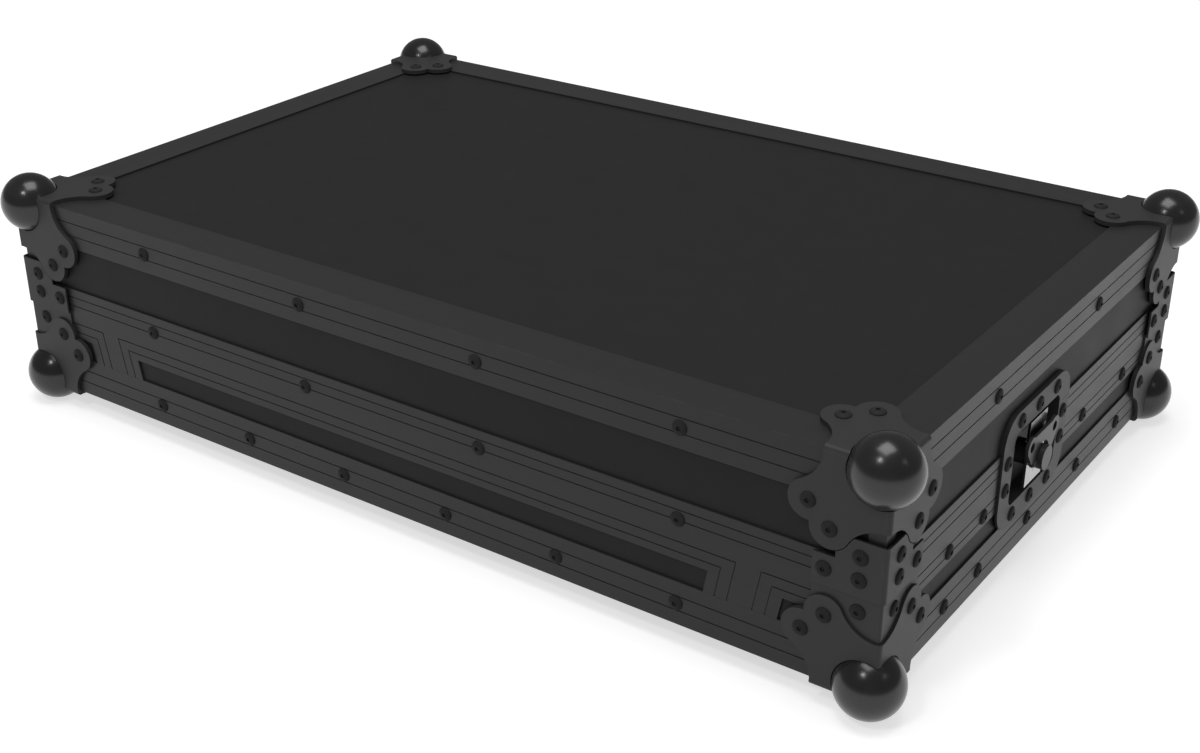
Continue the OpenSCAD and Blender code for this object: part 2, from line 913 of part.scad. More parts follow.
module wing_plan() {
    difference() {
        union() {
            polygon([
                [-eye_y, wing_top], [eye_y, wing_top], [wing_waist, wing_waist_z], [wing_foot, -wing_foot_z],
                [-wing_foot, -wing_foot_z], [-wing_waist, wing_waist_z]
            ]);
            for (side = [-1, 1]) translate([side * eye_y, eye_z]) circle(ear_r);
        }
        circle(wing_arch_r);
        translate([-barrel_r - knuckle_gap, -barrel_r]) square([2 * (barrel_r + knuckle_gap), barrel_r]);
        for (side = [-1, 1]) translate([side * eye_y, eye_z]) circle(eye_r);
    }
}

module latch_wing(side) {
    near = barrel_r + knuckle_gap;
    color("#414144") at_barrel(side) difference() {
        union() {
            translate([0, 0, wing_in]) linear_extrude(wing_t) wing_plan();
            for (half = [-1, 1])
                translate([half > 0 ? near : -wing_foot, 0, wing_face]) rotate([0, 90, 0])
                    cylinder(h = wing_foot - near, r = knuckle_r, $fn = 48);
        }
        translate([-wing_foot - overrun, 0, wing_face]) rotate([0, 90, 0])
            cylinder(h = 2 * (wing_foot + overrun), r = wing_pin_r + run_gap, $fn = 32);
    }
}

// Strap round the eccentric, at rest at the top of its travel
module latch_strap(side) {
    half = hook_w / 2;
    slot_half = eccentric_r + throw + 2 * face_gap;
    slot_tall = 2 * (eccentric_r + slot_spare);
    top = pivot_rise - pivot_r - 2 * face_gap;
    cheek = half - pivot_half - face_gap;
    color("#454548") at_barrel(side) difference() {
        union() {
            translate([-half, -strap_drop, strap_in]) cube([hook_w, top + strap_drop, strap_t]);
            strap_tail();
            for (turn = [-1, 1]) {
                edge = turn > 0 ? half - cheek : -half;
                translate([edge, top - hair, strap_in]) cube([cheek, pivot_rise - top + hair, strap_t]);
                translate([edge, pivot_rise, pivot_face]) rotate([0, 90, 0])
                    cylinder(h = cheek, r = pivot_r, $fn = 48);
            }
        }
        translate([0, throw, strap_in - overrun]) linear_extrude(strap_t + 2 * overrun)
            square([2 * slot_half, slot_tall], center = true);
        translate([-half - overrun, pivot_rise, pivot_face]) rotate([0, 90, 0])
            cylinder(h = hook_w + 2 * overrun, r = pivot_pin_r + run_gap, $fn = 32);
    }
}

// Half-round tail pressed into the strap below the barrel, tapering downwards
module strap_tail() {
    intersection() {
        translate([0, -tail_start, strap_in]) rotate([90, 0, 0])
            cylinder(h = strap_drop - tail_start, r1 = tail_r, r2 = tail_tip_r);
        translate([-hook_w, -strap_drop - overrun, strap_in]) cube([2 * hook_w, strap_drop + overrun, hook_w]);
    }
}

// Hook with its own trunnions, upright at rest with its lip short of the keeper's shelf
module latch_hook(side) {
    half = hook_w / 2;
    rise = hook_top - barrel_z;
    clear = pivot_rise + pivot_r + 2 * face_gap;
    color("#48484b") at_barrel(side) {
        translate([-half, clear, strap_in]) cube([hook_w, rise - clear, strap_t]);
        translate([-pivot_half, pivot_rise, strap_in]) cube([2 * pivot_half, clear - pivot_rise + hair, strap_t]);
        translate([-pivot_half, pivot_rise, pivot_face]) rotate([0, 90, 0])
            cylinder(h = 2 * pivot_half, r = pivot_r, $fn = 48);
        translate([-half, pivot_rise, pivot_face]) rotate([0, 90, 0])
            cylinder(h = hook_w, r = pivot_pin_r, $fn = 32);
        translate([-half, rise - hook_lip_t, hook_reach]) cube([hook_w, hook_lip_t, strap_out - hook_reach]);
    }
}

lid_top_panel();
lid_panel_long(-1);  // lid_front_panel
lid_panel_long(1);  // lid_rear_panel
lid_panel_end(-1);  // lid_left_panel
lid_panel_end(1);  // lid_right_panel
lid_edge_long(-1);  // lid_front_edge
lid_edge_long(1);  // lid_rear_edge
lid_edge_end(-1);  // lid_left_edge
lid_edge_end(1);  // lid_right_edge
lid_corner_profiles();
lid_locating_strips();
lid_foam_pad();
lid_bracket(-1, -1);  // lid_bracket_front_left
lid_bracket(1, -1);  // lid_bracket_front_right
lid_bracket(-1, 1);  // lid_bracket_rear_left
lid_bracket(1, 1);  // lid_bracket_rear_right
lid_corner_balls();
lid_rivets();
latch_keeper(-1);  // latch_keeper_left
latch_keeper(1);  // latch_keeper_right
base_bottom_panel();
base_panel_long(-1);  // base_front_panel
base_panel_long(1);  // base_rear_panel
base_panel_end(-1);  // base_left_panel
base_panel_end(1);  // base_right_panel
base_front_band();
base_rear_band();
base_band_end(-1);  // base_left_band
base_band_end(1);  // base_right_band
base_edge_long(-1);  // base_front_edge
base_edge_long(1);  // base_rear_edge
base_edge_end(-1);  // base_left_edge
base_edge_end(1);  // base_right_edge
base_corner_profiles();
front_window_posts();
brace(-1, -1);  // brace_front_left
brace(1, -1);  // brace_front_right
brace(-1, 1);  // brace_rear_left
brace(1, 1);  // brace_rear_right
base_bracket(-1, -1);  // base_bracket_front_left
base_bracket(1, -1);  // base_bracket_front_right
base_bracket(-1, 1);  // base_bracket_rear_left
base_bracket(1, 1);  // base_bracket_rear_right
base_corner_balls();
base_rivets();
floor_foam_pad();
wall_foam_strips();
latch_dish(-1);  // latch_dish_left
latch_dish(1);  // latch_dish_right
latch_barrel(-1);  // latch_barrel_left
latch_wing(-1);  // latch_wing_left
wing_pin(-1);  // wing_pin_left
latch_strap(-1);  // latch_strap_left
latch_hook(-1);  // latch_hook_left
latch_barrel(1);  // latch_barrel_right
latch_wing(1);  // latch_wing_right
wing_pin(1);  // wing_pin_right
latch_strap(1);  // latch_strap_right
latch_hook(1);  // latch_hook_right
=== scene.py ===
# %% [markdown]
# This lesson dresses a black flight case in Blender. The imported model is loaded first, as a fixed frame in
# metres: it gives every piece its place, and each new piece is fitted to it by asking for a node's box. The
# shapes of the stock metal parts are already right there, so most of the work is on edges and finishes.

import json
import math
import random

import bpy
from mathutils import Matrix, Vector


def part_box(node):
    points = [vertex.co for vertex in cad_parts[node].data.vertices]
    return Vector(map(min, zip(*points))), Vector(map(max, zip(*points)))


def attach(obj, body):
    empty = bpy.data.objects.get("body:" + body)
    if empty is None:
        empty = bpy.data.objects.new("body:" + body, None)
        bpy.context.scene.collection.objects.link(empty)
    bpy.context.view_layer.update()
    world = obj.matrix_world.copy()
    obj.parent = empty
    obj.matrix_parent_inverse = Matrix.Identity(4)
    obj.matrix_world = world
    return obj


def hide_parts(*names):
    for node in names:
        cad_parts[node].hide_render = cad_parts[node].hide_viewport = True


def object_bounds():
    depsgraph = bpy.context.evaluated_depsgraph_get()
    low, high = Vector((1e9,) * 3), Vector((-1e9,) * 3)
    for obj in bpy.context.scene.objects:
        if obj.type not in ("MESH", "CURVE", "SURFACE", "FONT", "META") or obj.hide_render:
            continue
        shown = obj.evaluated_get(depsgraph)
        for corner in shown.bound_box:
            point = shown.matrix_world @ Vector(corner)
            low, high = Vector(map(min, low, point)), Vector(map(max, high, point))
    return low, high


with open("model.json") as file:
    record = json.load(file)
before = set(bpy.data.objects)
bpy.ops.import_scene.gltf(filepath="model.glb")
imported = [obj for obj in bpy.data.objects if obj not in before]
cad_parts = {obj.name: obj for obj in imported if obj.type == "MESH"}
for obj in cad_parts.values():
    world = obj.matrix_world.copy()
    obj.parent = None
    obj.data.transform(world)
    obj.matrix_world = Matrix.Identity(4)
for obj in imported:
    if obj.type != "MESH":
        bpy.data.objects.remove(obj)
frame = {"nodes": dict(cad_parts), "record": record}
cad_low, cad_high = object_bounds()
mm = 0.001
body_of = {node: body for body, nodes in frame["record"]["behaviour"]["bodies"].items() for node in nodes}

# %% [markdown]
# Sizes that several pieces need are read from the frame and not typed again: the outer planes of the edge
# profiles and the joint between lid and base. The side names that the nodes share are listed once here.

# %% Sizes read from the frame
half_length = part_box("lid_front_edge")[1].x
half_width = -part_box("lid_front_edge")[0].y
case_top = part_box("lid_front_edge")[1].z
case_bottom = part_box("base_front_edge")[0].z
joint_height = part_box("base_front_band")[1].z
case_centre = Vector((0, 0, (case_top + case_bottom) / 2))
corners = ["front_left", "front_right", "rear_left", "rear_right"]
sides = ["front", "rear", "left", "right"]
ends = ["left", "right"]
print("Profile box:", round(2 * half_length, 4), round(2 * half_width, 4), round(case_top - case_bottom, 4))

# %% [markdown]
# The camera stands in front of the right-hand corner and looks down on the lid. Its place and its three
# turns were solved from the case's own edges, so the same box fills the picture in the same way. The view
# transform is Standard, so that a dark grey in a material stays as dark in the picture.

# %% The camera
camera_place = Vector((0.6816, -0.9576, 0.6114))
camera_yaw = 2.18447617
camera_pitch = 0.463209817
camera_roll = -0.00170474
heading = Matrix.Rotation(camera_yaw - math.pi / 2, 4, "Z")
tilt = Matrix.Rotation(math.pi / 2 - camera_pitch, 4, "X")
turn = heading @ tilt @ Matrix.Rotation(camera_roll, 4, "Z")
bpy.ops.object.camera_add(location=camera_place, rotation=turn.to_euler())
camera = bpy.context.object
camera.name = "camera"
camera.data.sensor_width = 36
camera.data.lens = 51.749
camera.data.clip_end = 50
bpy.context.scene.camera = camera
bpy.context.scene.view_settings.view_transform = "Standard"
print("Camera looks along", [round(n, 3) for n in turn.to_3x3() @ Vector((0, 0, -1))])

# %% [markdown]
# A black glossy thing is seen by what it mirrors, so the room matters more than the lamps. The floor is
# pale and glows for camera and mirror rays only, so it looks white and still keeps a soft shadow. The sky
# is dimmer for mirror rays, which keeps the lid dark and draws the horizon across each ball.

# %% Floor and sky
floor_size = 24
floor_share = 0.6
floor_soft = 0.0
floor_seen = 0.62
floor_mirrored = 0.75
sky_soft = 0.42
sky_seen = 1.0
sky_mirrored = 0.24


def add_node(tree, kind, **settings):
    node = tree.nodes.new(kind)
    for name, value in settings.items():
        setattr(node, name, value)
    return node


def fresh_material(name):
    material = bpy.data.materials.new(name)
    material.use_nodes = True
    material.node_tree.nodes.clear()
    return material, material.node_tree


def maths(tree, operation, first, second=None, clamp=False):
    """A Math node; each value is a socket or a number."""
    node = add_node(tree, "ShaderNodeMath", operation=operation, use_clamp=clamp)
    for socket, value in zip(node.inputs, (first, second)):
        if value is None:
            continue
        if isinstance(value, (int, float)):
            socket.default_value = value
        else:
            tree.links.new(value, socket)
    return node.outputs[0]


def ray_level(tree, soft, seen, mirrored):
    """One level for soft light on the object, one for the camera, one for mirrors and glass."""
    path = add_node(tree, "ShaderNodeLightPath")
    shiny = maths(tree, "MAXIMUM", path.outputs["Is Glossy Ray"], path.outputs["Is Transmission Ray"])
    camera_part = maths(tree, "MULTIPLY", path.outputs["Is Camera Ray"], seen - soft)
    mirror_part = maths(tree, "MULTIPLY", shiny, mirrored - soft)
    return maths(tree, "ADD", maths(tree, "ADD", camera_part, mirror_part), soft)


def floor_material():
    material, tree = fresh_material("pale_floor")
    out = add_node(tree, "ShaderNodeOutputMaterial")
    both = add_node(tree, "ShaderNodeAddShader")
    matt = add_node(tree, "ShaderNodeBsdfDiffuse")
    matt.inputs["Color"].default_value = (floor_share, floor_share, floor_share, 1)
    glow = add_node(tree, "ShaderNodeEmission")
    tree.links.new(ray_level(tree, floor_soft, floor_seen, floor_mirrored), glow.inputs["Strength"])
    tree.links.new(matt.outputs[0], both.inputs[0])
    tree.links.new(glow.outputs[0], both.inputs[1])
    tree.links.new(both.outputs[0], out.inputs["Surface"])
    return material


def studio_sky():
    sky = bpy.data.worlds.new("studio_sky")
    sky.use_nodes = True
    tree = sky.node_tree
    tree.nodes.clear()
    out = add_node(tree, "ShaderNodeOutputWorld")
    dome = add_node(tree, "ShaderNodeBackground")
    tree.links.new(ray_level(tree, sky_soft, sky_seen, sky_mirrored), dome.inputs["Strength"])
    tree.links.new(dome.outputs[0], out.inputs["Surface"])
    return sky


bpy.ops.object.select_all(action="DESELECT")
bpy.ops.mesh.primitive_plane_add(size=floor_size, location=(0, 0, cad_low.z))
floor = bpy.context.object
floor.name = "floor"
floor.data.materials.append(floor_material())
bpy.context.scene.world = studio_sky()
print("Floor seen at", floor_seen, "sky in mirrors", sky_mirrored)

# %% [markdown]
# One large square lamp hangs over the case and gives the soft square on each ball. It looks straight down
# and is spun a little. A small lamp in front makes the bright point beside the square, and a fainter one
# stands on the right. Both of these look at the case.

# %% Lamps
def hang_lamp(name, place, size, watts, spin=None):
    """The lamp looks straight down where a spin in degrees is given, and otherwise at the case."""
    bpy.ops.object.light_add(type="AREA", location=place)
    lamp = bpy.context.object
    lamp.name = name
    lamp.data.shape = "SQUARE"
    lamp.data.size = size
    lamp.data.energy = watts
    if spin is None:
        lamp.rotation_euler = (case_centre - Vector(place)).to_track_quat("-Z", "Y").to_euler()
    else:
        lamp.rotation_euler = (0, 0, math.radians(spin))


hang_lamp("overhead_square", (0.06, -0.19, 2.6), 1.5, 36, spin=-24)
hang_lamp("front_point", (0.038, -1.537, 1.921), 0.28, 8)
hang_lamp("right_point", (2.03, -0.12, 1.6), 0.36, 0.8)

# %% [markdown]
# Four effects come back in many finishes: a fine grain, the drawn lines of an extrusion, the patches that
# handling leaves, and the rub along the outer arrises. Each is a small node group that reads object
# coordinates, so it stays fixed to the piece. A group hands out values only, and each material decides what
# they mean.

# %% Shared node groups
def new_group(name, inputs, outputs):
    group = bpy.data.node_groups.new(name, "ShaderNodeTree")
    for label, kind, value in inputs:
        group.interface.new_socket(name=label, in_out="INPUT", socket_type=kind).default_value = value
    for label in outputs:
        group.interface.new_socket(name=label, in_out="OUTPUT", socket_type="NodeSocketFloat")
    start = add_node(group, "NodeGroupInput")
    end = add_node(group, "NodeGroupOutput")
    return group, start, end


def noise(tree, vector, scale, detail=2.0, rough=0.5):
    node = add_node(tree, "ShaderNodeTexNoise")
    node.inputs["Detail"].default_value = detail
    node.inputs["Roughness"].default_value = rough
    tree.links.new(vector, node.inputs["Vector"])
    if isinstance(scale, (int, float)):
        node.inputs["Scale"].default_value = scale
    else:
        tree.links.new(scale, node.inputs["Scale"])
    return node.outputs["Fac"]


def above(tree, value, level, contrast):
    """Nothing below the level, and then a rise to 1 that is steeper with more contrast."""
    return maths(tree, "MULTIPLY", maths(tree, "SUBTRACT", value, level), contrast, clamp=True)


def depth_inside(tree, limit, value):
    """How far a coordinate lies inside a limit that is the same on both sides of the middle."""
    return maths(tree, "SUBTRACT", limit, maths(tree, "ABSOLUTE", value))


def axes_of(tree, output):
    """The three parts of an output of Texture Coordinate, such as Object or Normal."""
    split = add_node(tree, "ShaderNodeSeparateXYZ")
    tree.links.new(add_node(tree, "ShaderNodeTexCoord").outputs[output], split.inputs[0])
    return split.outputs


def make_grain_group():
    """Cells with finer noise over them, and a coarse tone."""
    cell_depth = -0.7
    finer = 1.7
    coarser = 0.05
    group, start, end = new_group(
        "fine_grain", [("Grains per metre", "NodeSocketFloat", 700.0)], ["Height", "Tone"])
    place = add_node(group, "ShaderNodeTexCoord").outputs["Object"]
    cells = add_node(group, "ShaderNodeTexVoronoi", feature="SMOOTH_F1")
    group.links.new(place, cells.inputs["Vector"])
    group.links.new(start.outputs[0], cells.inputs["Scale"])
    fine = noise(group, place, maths(group, "MULTIPLY", start.outputs[0], finer))
    height = maths(group, "ADD", maths(group, "MULTIPLY", cells.outputs["Distance"], cell_depth), fine)
    group.links.new(height, end.inputs["Height"])
    tone = noise(group, place, maths(group, "MULTIPLY", start.outputs[0], coarser))
    group.links.new(tone, end.inputs["Tone"])
    return group


def make_line_group():
    """Noise drawn out along one axis, and a coarser tone along the same lines."""
    line_detail = 3.0
    line_rough = 0.6
    tone_scale = 0.12
    group, start, end = new_group(
        "drawn_lines", [("Lines along each axis", "NodeSocketVector", (4, 700, 700))], ["Height", "Tone"])
    place = add_node(group, "ShaderNodeTexCoord").outputs["Object"]
    stretch = add_node(group, "ShaderNodeVectorMath", operation="MULTIPLY")
    group.links.new(place, stretch.inputs[0])
    group.links.new(start.outputs[0], stretch.inputs[1])
    group.links.new(noise(group, stretch.outputs[0], 1.0, line_detail, line_rough), end.inputs["Height"])
    group.links.new(noise(group, stretch.outputs[0], tone_scale), end.inputs["Tone"])
    return group


def make_handling_group():
    """Smudged patches, and a few thin slanting scratches that show only in some places."""
    patch_detail = 4.0
    patch_rough = 0.6
    scratch_turn = (0.4, 0.3, 0.7)
    scratch_scale = (12, 420, 260)
    scratch_level = 0.68
    scratch_contrast = 9.0
    places_per_metre = 30.0
    places_level = 0.5
    places_contrast = 5.0
    group, start, end = new_group(
        "handling", [("Patches per metre", "NodeSocketFloat", 22.0)], ["Patch", "Scratch"])
    place = add_node(group, "ShaderNodeTexCoord").outputs["Object"]
    group.links.new(noise(group, place, start.outputs[0], patch_detail, patch_rough), end.inputs["Patch"])
    slant = add_node(group, "ShaderNodeMapping")
    slant.inputs["Rotation"].default_value = scratch_turn
    slant.inputs["Scale"].default_value = scratch_scale
    group.links.new(place, slant.inputs["Vector"])
    lines = noise(group, slant.outputs[0], 1.0, 1.0)
    sharp = above(group, lines, scratch_level, scratch_contrast)
    rare = above(group, noise(group, place, places_per_metre), places_level, places_contrast)
    group.links.new(maths(group, "MULTIPLY", sharp, rare), end.inputs["Scratch"])
    return group


def make_rub_group():
    """How close a point lies to an outer arris of the case, broken up by noise."""
    break_per_metre = 90.0
    break_detail = 4.0
    break_level = 0.42
    break_contrast = 4.0
    group, start, end = new_group("arris_rub", [("Reach", "NodeSocketFloat", 1.2 * mm)], ["Rub"])
    place = add_node(group, "ShaderNodeTexCoord").outputs["Object"]
    axes = axes_of(group, "Object")
    from_end = depth_inside(group, half_length, axes["X"])
    from_side = depth_inside(group, half_width, axes["Y"])
    above_middle = maths(group, "SUBTRACT", axes["Z"], case_centre.z)
    from_flat = depth_inside(group, case_top - case_centre.z, above_middle)
    first = maths(group, "MAXIMUM", from_end, from_side)
    second = maths(group, "MAXIMUM", from_side, from_flat)
    third = maths(group, "MAXIMUM", from_end, from_flat)
    nearest = maths(group, "MINIMUM", first, maths(group, "MINIMUM", second, third))
    near = maths(group, "SUBTRACT", 1.0, maths(group, "DIVIDE", nearest, start.outputs[0]), clamp=True)
    broken = above(group, noise(group, place, break_per_metre, break_detail), break_level, break_contrast)
    group.links.new(maths(group, "MULTIPLY", near, broken), end.inputs["Rub"])
    return group


grain_group = make_grain_group()
line_group = make_line_group()
handling_group = make_handling_group()
rub_group = make_rub_group()
print("Node groups:", [g.name for g in bpy.data.node_groups])

# %% [markdown]
# Every black finish is a thin coat over a very dark ground, so one builder makes them all. It mixes two
# close tones by the coarse noise, lightens the rubbed arrises, lets handling change the roughness and gives
# the grain to a Bump node. Numbers that are the same all over sit on the shader's own sockets. The same
# builder serves bare and plated metal, with the shader's Metallic set to 1.

# %% The builder for coated finishes
def place_group(tree, group, value=None):
    node = add_node(tree, "ShaderNodeGroup", node_tree=group)
    if value is not None:
        node.inputs[0].default_value = value
    return node


def mix_tones(tree, factor, first, second):
    node = add_node(tree, "ShaderNodeMix", data_type="RGBA")
    tree.links.new(factor, node.inputs["Factor"])
    for socket, value in ((node.inputs[6], first), (node.inputs[7], second)):
        if isinstance(value, tuple):
            socket.default_value = (*value, 1)
        else:
            tree.links.new(value, socket)
    return node.outputs[2]


def handled_roughness(tree, rough, spread, scratch):
    handling = place_group(tree, handling_group)
    wander = maths(tree, "MULTIPLY", maths(tree, "SUBTRACT", handling.outputs["Patch"], 0.5), spread)
    scuffed = maths(tree, "MULTIPLY", handling.outputs["Scratch"], scratch)
    return maths(tree, "ADD", maths(tree, "ADD", wander, rough), scuffed)


def raised(tree, height, depth):
    bump = add_node(tree, "ShaderNodeBump")
    bump.inputs["Distance"].default_value = depth
    tree.links.new(height, bump.inputs["Height"])
    return bump.outputs[0]


def coated(name, dark, light, rubbed, rough, rough_spread, gloss, relief, relief_depth, scratch=0.15):
    """rough and rough_spread give the roughness, gloss the specular level; relief is a group node's maker."""
    material, tree = fresh_material(name)
    out = add_node(tree, "ShaderNodeOutputMaterial")
    shader = add_node(tree, "ShaderNodeBsdfPrincipled")
    shader.inputs["IOR"].default_value = 1.5
    shader.inputs["Specular IOR Level"].default_value = gloss
    texture = relief(tree)
    ground = mix_tones(tree, texture.outputs["Tone"], dark, light)
    rub = place_group(tree, rub_group)
    colour = mix_tones(tree, rub.outputs["Rub"], ground, rubbed)
    tree.links.new(colour, shader.inputs["Base Color"])
    tree.links.new(handled_roughness(tree, rough, rough_spread, scratch), shader.inputs["Roughness"])
    tree.links.new(raised(tree, texture.outputs["Height"], relief_depth), shader.inputs["Normal"])
    tree.links.new(shader.outputs[0], out.inputs["Surface"])
    return material


def make_metallic(material):
    material.node_tree.nodes["Principled BSDF"].inputs["Metallic"].default_value = 1
    return material


lines_along = 4
lines_across = 700


def grained(per_metre):
    return lambda tree: place_group(tree, grain_group, per_metre)


def drawn(along):
    lines = tuple(lines_along if axis == along else lines_across for axis in "xyz")
    return lambda tree: place_group(tree, line_group, lines)


# %% [markdown]
# The panels are plywood under a matt black laminate with a fine pebble. It is rougher than the metal's
# coats and mirrors less, so the lid's top stays a quiet dark grey beside the brighter profiles. Where the
# lid's walls end at the joint the plies show, as thin brown layers across the panel's thickness. A mask
# finds that edge by its height and by the way it faces, and the depth from the outer sides gives the layers.

# %% Laminate and plywood
ply_thickness = 1.3 * mm
ply_tones = ((0.32, 0.2, 0.1), (0.2, 0.115, 0.055))
joint_reach = 0.3 * mm
downward_limit = -0.5


def ply_colours(tree, place):
    """Two browns in turn, by the depth from the nearest outer side."""
    from_end = depth_inside(tree, half_length, place["X"])
    from_side = depth_inside(tree, half_width, place["Y"])
    depth = maths(tree, "MINIMUM", from_end, from_side)
    layer = maths(tree, "FRACT", maths(tree, "DIVIDE", depth, 2 * ply_thickness))
    return mix_tones(tree, maths(tree, "GREATER_THAN", layer, 0.5), *ply_tones)


def bare_edge(tree, place):
    """1 on the faces that look down at the height of the joint, and 0 elsewhere."""
    off_joint = maths(tree, "ABSOLUTE", maths(tree, "SUBTRACT", place["Z"], joint_height))
    at_joint = maths(tree, "LESS_THAN", off_joint, joint_reach)
    looks_down = maths(tree, "LESS_THAN", axes_of(tree, "Normal")["Z"], downward_limit)
    return maths(tree, "MULTIPLY", at_joint, looks_down)


def laminate_material():
    material = coated(
        "black_laminate", (0.0195, 0.0195, 0.0199), (0.0235, 0.0235, 0.0239), (0.027, 0.027, 0.027),
        rough=0.5, rough_spread=0.12, gloss=0.08, relief=grained(850.0), relief_depth=0.012 * mm)
    tree = material.node_tree
    base = tree.nodes["Principled BSDF"].inputs["Base Color"]
    face = base.links[0].from_socket
    place = axes_of(tree, "Object")
    tree.links.new(mix_tones(tree, bare_edge(tree, place), face, ply_colours(tree, place)), base)
    return material


laminate = laminate_material()
panels = [node for node in body_of if node.endswith("_panel")]
for node in panels:
    frame["nodes"][node].data.materials.clear()
    frame["nodes"][node].data.materials.append(laminate)
print("Panels with laminate:", len(panels))

# %% [markdown]
# A stock part in the frame has sharp edges, and its mesh is loose triangles. A copy of it is merged, its
# flat faces are made whole again, and a Bevel modifier breaks the sharp edges as a press or a saw and a
# tumbler would. The copy then stands for the node.

# %% The helper that breaks sharp edges
merge_distance = 0.002 * mm
flat_angle = math.radians(0.5)
sharp_angle = math.radians(38)
smooth_angle = math.radians(32)


def pick_only(piece):
    bpy.ops.object.select_all(action="DESELECT")
    piece.select_set(True)
    bpy.context.view_layer.objects.active = piece


def merged_copy(node, name):
    piece = bpy.data.objects.new(name, frame["nodes"][node].data.copy())
    bpy.context.collection.objects.link(piece)
    piece.data.materials.clear()
    pick_only(piece)
    if piece.data.has_custom_normals:
        bpy.ops.mesh.customdata_custom_splitnormals_clear()
    bpy.ops.object.mode_set(mode="EDIT")
    bpy.ops.mesh.select_all(action="SELECT")
    bpy.ops.mesh.remove_doubles(threshold=merge_distance)
    bpy.ops.mesh.dissolve_limited(angle_limit=flat_angle)
    bpy.ops.object.mode_set(mode="OBJECT")
    return piece


def break_edges(piece, width, segments=2):
    bevel = piece.modifiers.new("broken_edges", "BEVEL")
    bevel.width = width
    bevel.segments = segments
    bevel.limit_method = "ANGLE"
    bevel.angle_limit = sharp_angle
    pick_only(piece)
    bpy.ops.object.modifier_apply(modifier="broken_edges")


def smooth_faces(piece):
    pick_only(piece)
    bpy.ops.object.shade_smooth_by_angle(angle=smooth_angle)
    weigh = piece.modifiers.new("weighted", "WEIGHTED_NORMAL")
    weigh.keep_sharp = True
    bpy.ops.object.modifier_apply(modifier="weighted")


def stand_for(piece, node, material):
    piece.data.materials.clear()
    piece.data.materials.append(material)
    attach(piece, body_of[node])
    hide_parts(node)


def dress(node, width, material, segments=2):
    piece = merged_copy(node, node + "_finished")
    break_edges(piece, width, segments)
    smooth_faces(piece)
    stand_for(piece, node, material)
    return len(piece.data.polygons)


# %% [markdown]
# The edge profiles, the closing bands, the corner profiles and the posts are black anodised extrusions. The
# die leaves faint lines along each one, so there is one finish for each direction that a profile runs in.
# The locating strips inside the lid are the same alloy left bright.

# %% Aluminium profiles
profile_edge = 0.12 * mm


def anodised(name, along):
    return coated(name, (0.023, 0.023, 0.0235), (0.029, 0.029, 0.0295), (0.036, 0.036, 0.0365),
                  rough=0.4, rough_spread=0.1, gloss=0.2, relief=drawn(along), relief_depth=0.002 * mm)


anodised_along = {axis: anodised("anodised_along_" + axis, axis) for axis in "xyz"}
run_of = {"front": "x", "rear": "x", "left": "y", "right": "y"}
profile_faces = 0
for side in sides:
    for node in ("lid_" + side + "_edge", "base_" + side + "_edge", "base_" + side + "_band"):
        profile_faces += dress(node, profile_edge, anodised_along[run_of[side]])
for node in ("lid_corner_profiles", "base_corner_profiles", "front_window_posts"):
    profile_faces += dress(node, profile_edge, anodised_along["z"])
print("Faces on the profiles:", profile_faces)


# %% Bright locating strips
def bright_aluminium():
    return make_metallic(coated(
        "mill_aluminium", (0.42, 0.42, 0.43), (0.5, 0.5, 0.51), (0.6, 0.6, 0.6),
        rough=0.34, rough_spread=0.16, gloss=0.5, relief=drawn("x"), relief_depth=0.004 * mm))


print("Faces on the strips:", dress("lid_locating_strips", profile_edge, bright_aluminium()))

# %% [markdown]
# The corner brackets and the middle braces are pressed steel in black powder coat. Powder flows out a
# little before it sets, which leaves a soft orange peel and rounder edges than the extrusions have.

# %% Brackets and braces
bracket_edge = 0.45 * mm
brace_edge = 0.3 * mm


def powder_coat(name, rough=0.46):
    return coated(name, (0.032, 0.032, 0.0325), (0.038, 0.038, 0.0385), (0.042, 0.042, 0.0425),
                  rough=rough, rough_spread=0.08, gloss=0.2, relief=grained(420.0), relief_depth=0.006 * mm)


bracket_coat = powder_coat("bracket_coat")
bracket_faces = 0
for corner in corners:
    bracket_faces += dress("lid_bracket_" + corner, bracket_edge, bracket_coat, 3)
    bracket_faces += dress("base_bracket_" + corner, bracket_edge, bracket_coat, 3)
    bracket_faces += dress("brace_" + corner, brace_edge, bracket_coat)
print("Faces on brackets and braces:", bracket_faces)

# %% [markdown]
# A ball corner is a round cap that sits over the corner of the case. It starts as a sphere at the place
# where the frame has it, and a Boolean modifier takes out the box-shaped part that the case's corner would
# fill. Its lacquer is the glossiest finish on the case.

# %% Corner balls
ball_segments = 64
ball_rings = 32
ball_radius = 21.5 * mm


def ball_lacquer():
    return coated("ball_lacquer", (0.013, 0.013, 0.0133), (0.0155, 0.0155, 0.0158), (0.018, 0.018, 0.018),
                  rough=0.23, rough_spread=0.05, gloss=0.46, relief=grained(160.0), relief_depth=0.0015 * mm,
                  scratch=0.1)


def loose_parts(node):
    """The solids of a node, each a new object."""
    whole = merged_copy(node, node + "_part")
    pick_only(whole)
    bpy.ops.object.mode_set(mode="EDIT")
    bpy.ops.mesh.select_all(action="SELECT")
    bpy.ops.mesh.separate(type="LOOSE")
    bpy.ops.object.mode_set(mode="OBJECT")
    return list(bpy.context.selected_objects)


def span(piece):
    points = [v.co for v in piece.data.vertices]
    low = Vector([min(p[i] for p in points) for i in range(3)])
    high = Vector([max(p[i] for p in points) for i in range(3)])
    return low, high


def join_as(pieces, name):
    bpy.ops.object.select_all(action="DESELECT")
    for piece in pieces:
        piece.select_set(True)
    bpy.context.view_layer.objects.active = pieces[0]
    bpy.ops.object.join()
    pieces[0].name = name
    return pieces[0]


def settle(piece):
    """The piece's place goes into its mesh, so that its object sits at the origin."""
    pick_only(piece)
    bpy.ops.object.transform_apply(location=True, rotation=True, scale=True)


